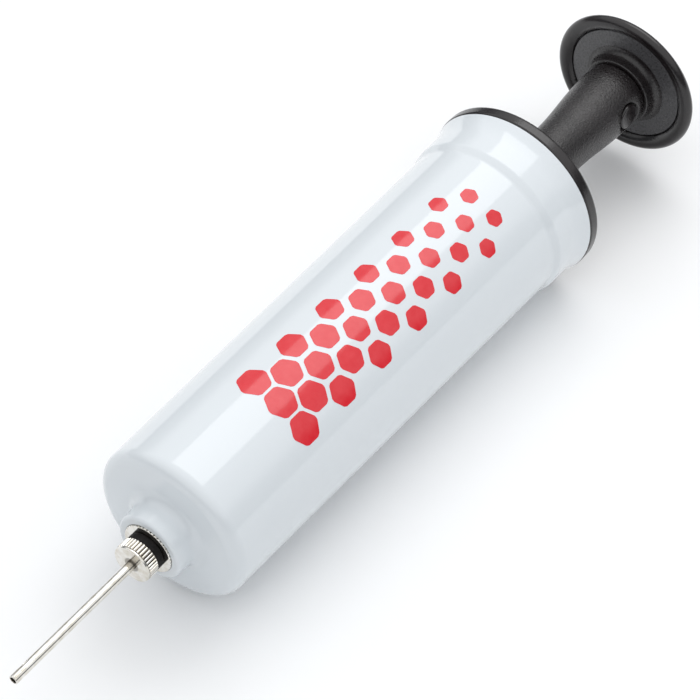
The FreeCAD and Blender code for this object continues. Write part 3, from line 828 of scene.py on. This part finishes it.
# the tube's outline with rows for the solder's edge on the skin, and for the port on the skin and in the
# bore; rows put in ahead of another face's first row move that number on
def tubeOutline():
    along, radius = roundedOutline(placed("needle_tube", needleTube["corners"]), steps=4, support=0.1)
    beyond, within = needleTube["skinBeyond"] * mm, needleTube["boreWithin"] * mm
    rows = needleTube["portRows"]
    end = solderStart + (needleTube["solder"] + needleTube["solderPast"]) * mm
    along, radius, _ = evenRows(along, radius, solderStart, end, needleTube["solderRows"], radius > beyond)
    low, high = portPlace - needleTube["portReach"] * mm, portPlace + needleTube["portReach"] * mm
    along, radius, skinRow = evenRows(along, radius, low, high, rows, radius > beyond)
    along, radius, boreRow = evenRows(along, radius, low, high, rows, radius < within)
    return along, radius, skinRow + (rows + 1 if boreRow < skinRow else 0), boreRow


solderStart = (frontOf("needle_head") - needleTube["solder"]) * mm
tubeAlong, tubeRadius, skinRow, boreRow = tubeOutline()
port = {
    "turn": math.radians(needleTube["portTurn"]),
    "outer": skinRow,
    "inner": boreRow,
    "rows": needleTube["portRows"],
    "columns": needleTube["portColumns"],
    "centre": portPlace,
    "endwise": False,
    "rings": portRings,
}
tube = turnedPiece("needleTube", tubeAlong, tubeRadius, needleTube["around"], holes=[port])
tubePlace = np.empty(len(tube.data.vertices) * 3, np.float32)
tube.data.vertices.foreach_get("co", tubePlace)
tubeTarnish = (tubePlace[::3] - solderStart) / (needleTube["solder"] * mm) * needleTube["solderMost"]
markPoints(tube, "paintedShadeAndSolder", tubeTarnish)
takeOver(tube, "needle_tube", "needle", nickel)

washer = {
    "corners": [(0.0, 3.05, 0.15), (0.0, 4.15, 0.35), (1.7, 4.15, 0.35), (1.7, 3.05, 0.15)],
    "around": 128,
}
washerAlong, washerRadius = roundedOutline(placed("needle_washer", washer["corners"]), steps=8)
washerRing = turnedPiece("needleWasher", washerAlong, washerRadius, washer["around"])
takeOver(washerRing, "needle_washer", "needle_seal", blackRubber)
print("nose and needle made")

endCap = {
    "corners": [
        (0.0, 13.6, 0.2),
        (0.0, 16.85, 0.4),
        (9.1, 16.85, 0.1),
        (9.1, 20.1, 0.5),
        (11.9, 20.1, 0.8),
        (11.9, 4.75, 0.3),
        (5.6, 4.75, 0.1),
        (5.6, 6.6, 0.1),
        (2.8, 6.6, 0.2),
        (2.8, 8.4, 0.3),
        (7.7, 8.4, 0.4),
        (7.7, 13.6, 0.4),
    ],
    "around": 288,
    "web": (7.7, 11.9),  # inner and outer face
    "vents": 3,
    "ventTurn": 60.0,
    "ventRadius": 1.3,
    "ventEdge": 0.15,
    "ventCircle": 11.0,
    "ventReach": 2.0,  # half the side of the patch that a vent sits in
    "ventRows": 24,
    "ventColumns": 18,
}


# a vent runs endwise through the web: at each depth in turn across = radius * sin(angle) and
# height = vent circle + radius * cos(angle), wider by the edge at both faces
def ventRings(angle):
    front = frontOf("end_cap")
    inner, outer = endCap["web"]
    edge = endCap["ventEdge"]
    wide, narrow = (endCap["ventRadius"] + edge) * mm, endCap["ventRadius"] * mm
    middle = endCap["ventCircle"] * mm
    stops = [(inner, wide), (inner + edge, narrow), (outer - edge, narrow), (outer, wide)]
    return [((front + x) * mm, r * np.sin(angle), middle + r * np.cos(angle)) for x, r in stops]


# the cap's outline with rows for the vents on both faces of the web; they are spaced by the radius, so the
# two arrays change places
def capOutline():
    along, radius = roundedOutline(placed("end_cap", endCap["corners"]), steps=9)
    inner, outer = [(frontOf("end_cap") + x) * mm for x in endCap["web"]]
    low = (endCap["ventCircle"] - endCap["ventReach"]) * mm
    high = (endCap["ventCircle"] + endCap["ventReach"]) * mm
    rows = endCap["ventRows"]
    radius, along, innerRow = evenRows(radius, along, low, high, rows, np.abs(along - inner) < 1e-6)
    radius, along, outerRow = evenRows(radius, along, low, high, rows, np.abs(along - outer) < 1e-6)
    return along, radius, innerRow + (rows + 1 if outerRow < innerRow else 0), outerRow


capAlong, capRadius, webRow, backRow = capOutline()
vents = [
    {
        "turn": turn + math.radians(endCap["ventTurn"]),
        "outer": webRow,
        "inner": backRow,
        "rows": endCap["ventRows"],
        "columns": endCap["ventColumns"],
        "centre": endCap["ventCircle"] * mm,
        "endwise": True,
        "rings": ventRings,
    }
    for turn in turnsOf(endCap["vents"])
]
capPiece = turnedPiece("endCap", capAlong, capRadius, endCap["around"], holes=vents)
takeOver(capPiece, "end_cap", "barrel", smoothBlack)
print("end cap made")

rod = {
    "corners": [
        (14.2, 0.0),
        (14.2, 1.9, 0.1),
        (0.0, 1.9, 0.1),
        (0.0, 3.0, 0.3),
        (11.25, 3.0, 0.1),
        (11.25, 4.5, 0.3),
        (138.2, 4.5, 0.4),
        (138.2, 2.8, 0.2),
        (17.2, 2.8, 0.3),
        (17.2, 0.0),
    ],
    "around": 128,
}
rodAlong, rodRadius = roundedOutline(placed("plunger_rod", rod["corners"]), closed=False)
rodPiece = turnedPiece("plungerRod", rodAlong, rodRadius, rod["around"], closed=False)
takeOver(rodPiece, "plunger_rod", "handle", smoothBlack)

neck = {
    "corners": [
        (32.9, 0.0),
        (32.9, 4.52, 0.1),
        (0.0, 4.52, 0.15),
        (0.0, 5.6, 0.3),
        (17.7, 6.3, 60.0),
        (25.7, 7.1, 40.0),
        (32.2, 7.42, 16.0),
        (35.6, 7.15, 0.4),
        (35.6, 5.0, 0.1),
        (39.9, 5.0, 0.3),
        (39.9, 0.0),
    ],
    "around": 216,
    "skinBeyond": 5.3,  # the skin is wider than this
    "skinTo": 35.2,  # and ends this far behind the neck's front
    "window": 30.3,  # behind the neck's front
    "windowRadius": 3.15,
    "windowTurn": 85.0,
    "windowEdge": 0.35,
    "windowFloor": 4.62,
    "windowPole": 0.93,  # share of the window's radius where the floor's fan of triangles starts
    "windowReach": 4.1,  # half the length of the patch that the window sits in
    "windowRows": 36,
    "windowColumns": 44,
}
neckAlong, neckRadius = roundedOutline(placed("handle_neck", neck["corners"]), closed=False, steps=15)
neckFront = frontOf("handle_neck") * mm
windowPlace = neckFront + neck["window"] * mm
isSkin = (neckRadius > neck["skinBeyond"] * mm) & (neckAlong < neckFront + neck["skinTo"] * mm)
neckSkin = neckAlong[isSkin], neckRadius[isSkin]


# the window is drilled square to the axis: its rim follows the neck's round skin,
# height = sqrt(skin^2 - across^2), then come a small bevel, a straight wall and a flat floor over the rod
def windowRings(angle):
    edge, narrow = neck["windowEdge"] * mm, neck["windowRadius"] * mm
    rings = []
    for reach, sink in ((narrow + edge, 0.0), (narrow, edge)):
        along, across = windowPlace + reach * np.cos(angle), reach * np.sin(angle)
        rings.append((along, across, np.sqrt(np.interp(along, *neckSkin) ** 2 - across**2) - sink))
    for reach in (narrow, neck["windowPole"] * narrow):
        along, across = windowPlace + reach * np.cos(angle), reach * np.sin(angle)
        rings.append((along, across, neck["windowFloor"] * mm))
    return rings


windowSpan = windowPlace - neck["windowReach"] * mm, windowPlace + neck["windowReach"] * mm
onSkin = neckRadius > neck["skinBeyond"] * mm
neckAlong, neckRadius, windowRow = evenRows(neckAlong, neckRadius, *windowSpan, neck["windowRows"], onSkin)
neckWindow = {
    "turn": math.radians(neck["windowTurn"]),
    "outer": windowRow - 1,  # the row on the axis is left out of the grid
    "rows": neck["windowRows"],
    "columns": neck["windowColumns"],
    "centre": windowPlace,
    "endwise": False,
    "rings": windowRings,
}
neckPiece = turnedPiece("handleNeck", neckAlong, neckRadius, neck["around"], closed=False, holes=[neckWindow])
takeOver(neckPiece, "handle_neck", "handle", grainedBlack)

knob = {
    # both halves are measured behind the base's front
    "base": [
        (4.3, 0.0),
        (4.3, 5.02, 0.2),
        (0.0, 5.02, 0.15),
        (0.0, 7.9, 0.3),
        (3.2, 8.0, 1.6),
        (3.2, 13.6, 0.3),
        (3.75, 13.6, 0.1),
        (3.75, 14.4, 0.1),
        (4.9, 14.4, 0.1),
        (4.9, 0.0),
    ],
    "crown": [
        (4.95, 0.0),
        (4.95, 14.45, 0.1),
        (3.7, 14.45, 0.1),
        (3.7, 13.75, 0.1),
        *arcCorners((3.35, 13.75), (2.15, 15.5), 2.4),
        *arcCorners((2.15, 15.5), (3.4, 17.05), 1.4)[1:],  # an arc starts at the last one's end
        *arcCorners((3.4, 17.05), (4.6, 16.1), 1.2)[1:],
        *arcCorners((4.6, 16.1), (7.7, 9.0), 14.0)[1:],
        (7.7, 0.0),
    ],
    "around": 256,
    "ringBeyond": 9.7,  # the flat ring, painted lighter as a reflection, is wider than this
    "ringTo": 3.5,  # and lies less than this behind the base's front
}
baseAlong, baseRadius = roundedOutline(placed("knob_base", knob["base"]), closed=False, steps=9)
basePiece = turnedPiece("knobBase", baseAlong, baseRadius, knob["around"], closed=False)
ringEnd = (frontOf("knob_base") + knob["ringTo"]) * mm
onRing = (baseRadius[1:-1] > knob["ringBeyond"] * mm) & (baseAlong[1:-1] < ringEnd)
# the two points on the axis come last
# the flat ring's points are marked for the painted reflection
markPoints(basePiece, "paintedSheen", np.append(np.repeat(onRing, knob["around"]), [False, False]))
takeOver(basePiece, "knob_base", "handle", mattBlackPaintedSheen)
crownAlong, crownRadius = roundedOutline(placed("knob_base", knob["crown"]), closed=False, steps=9)
crownPiece = turnedPiece("knobCrown", crownAlong, crownRadius, knob["around"], closed=False)
takeOver(crownPiece, "knob_crown", "handle", smoothBlack)
print("handle made")

# CAD pieces that keep their shape and get a finish
keptPieces = {
    "valve_seat": greyRubber,
    "valve_ball": steel,
    "valve_spring": steel,
    "guide_bush": acetal,
    "piston_core": acetal,
    "guide_ring": acetal,
    "piston_cup": blackRubber,
    "cup_plate": steel,
    "piston_screw": steel,
    "stop_bumper": greyRubber,
    "latch_button": smoothBlack,
}
for node, material in keptPieces.items():
    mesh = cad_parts[node].data
    mesh.materials.clear()
    mesh.materials.append(material)
print("inner pieces finished")

stage = {
    "floorTones": [(0.3, (0.94, 0.945, 0.95)), (0.7, (0.95, 0.95, 0.955))],
    "floorPatches": (0.01, 3),
    "floorSize": 3.0,  # half a side
    # brightness of the studio by height, 0 at the horizon and 1 overhead
    "sky": [
        (0.0, (0.16, 0.17, 0.18)),
        (0.3, (0.24, 0.255, 0.27)),
        (0.48, (1.02, 1.03, 1.04)),
        (1.0, (1.12, 1.13, 1.14)),
    ],
    "skyStrength": 1.0,
    "boxPlace": (0.58, 0.077, 0.85),
    "boxSize": (0.6, 0.76),
    "boxPower": 2.7,
}


# one square at height 0
def floorSheet():
    size = stage["floorSize"]
    corners = [(-size, -size, 0), (size, -size, 0), (size, size, 0), (-size, size, 0)]
    mesh = bpy.data.meshes.new("floorSheet")
    mesh.from_pydata(corners, [], [(0, 1, 2, 3)])
    sheet = bpy.data.objects.new("floorSheet", mesh)
    bpy.context.scene.collection.objects.link(sheet)
    material, tree, shader = newMaterial("paleFloor", {"Roughness": 0.7, "Specular IOR Level": 0.2})
    patches = noiseOn(tree, millimetres(tree), *stage["floorPatches"])
    tree.links.new(rampOn(tree, patches, stage["floorTones"]), shader.inputs["Base Color"])
    mesh.materials.append(material)


# a level soft box overhead, its sides along X and Y
def softBox():
    light = bpy.data.lights.new("topBox", "AREA")
    light.shape = "RECTANGLE"
    light.size, light.size_y = stage["boxSize"]
    light.energy = stage["boxPower"]
    lamp = bpy.data.objects.new("topBox", light)
    lamp.location = stage["boxPlace"]
    bpy.context.scene.collection.objects.link(lamp)


# the studio's walls are darker near the horizon: brightness ramp on the upward part of the direction
def studioWorld():
    world = bpy.data.worlds.new("studio")
    bpy.context.scene.world = world
    world.use_nodes = True
    tree = world.node_tree
    place = tree.nodes.new("ShaderNodeTexCoord")
    split = tree.nodes.new("ShaderNodeSeparateXYZ")
    tree.links.new(place.outputs["Generated"], split.inputs["Vector"])
    background = tree.nodes["Background"]
    background.inputs["Strength"].default_value = stage["skyStrength"]
    tree.links.new(rampOn(tree, split.outputs["Z"], stage["sky"]), background.inputs["Color"])


camera = {
    "azimuth": -52.5,
    "elevation": 48.5,
    "distance": 0.640,
    "lens": 164.6,
    "sensor": 36.0,
    "aim": (0.0, 0.00018, 0.0001),  # what it looks at, from the middle of the axis
}


# eye = aim + distance * (sin a cos e, -cos a cos e, sin e), looking back along that direction
def placeCamera():
    data = bpy.data.cameras.new("camera")
    data.lens, data.sensor_width = camera["lens"], camera["sensor"]
    data.clip_start, data.clip_end = 0.01, 20
    data.dof.use_dof = False
    eye = bpy.data.objects.new("camera", data)
    a, e = math.radians(camera["azimuth"]), math.radians(camera["elevation"])
    back = Vector((math.sin(a) * math.cos(e), -math.cos(a) * math.cos(e), math.sin(e)))
    aim = Vector((0, 0, axisHeight)) + Vector(camera["aim"])
    eye.location = aim + back * camera["distance"]
    eye.rotation_mode = "QUATERNION"
    eye.rotation_quaternion = (-back).to_track_quat("-Z", "Y")
    bpy.context.scene.collection.objects.link(eye)
    bpy.context.scene.camera = eye


floorSheet()
studioWorld()
softBox()
bpy.context.scene.view_settings.view_transform = "Standard"
placeCamera()
print("stage set")
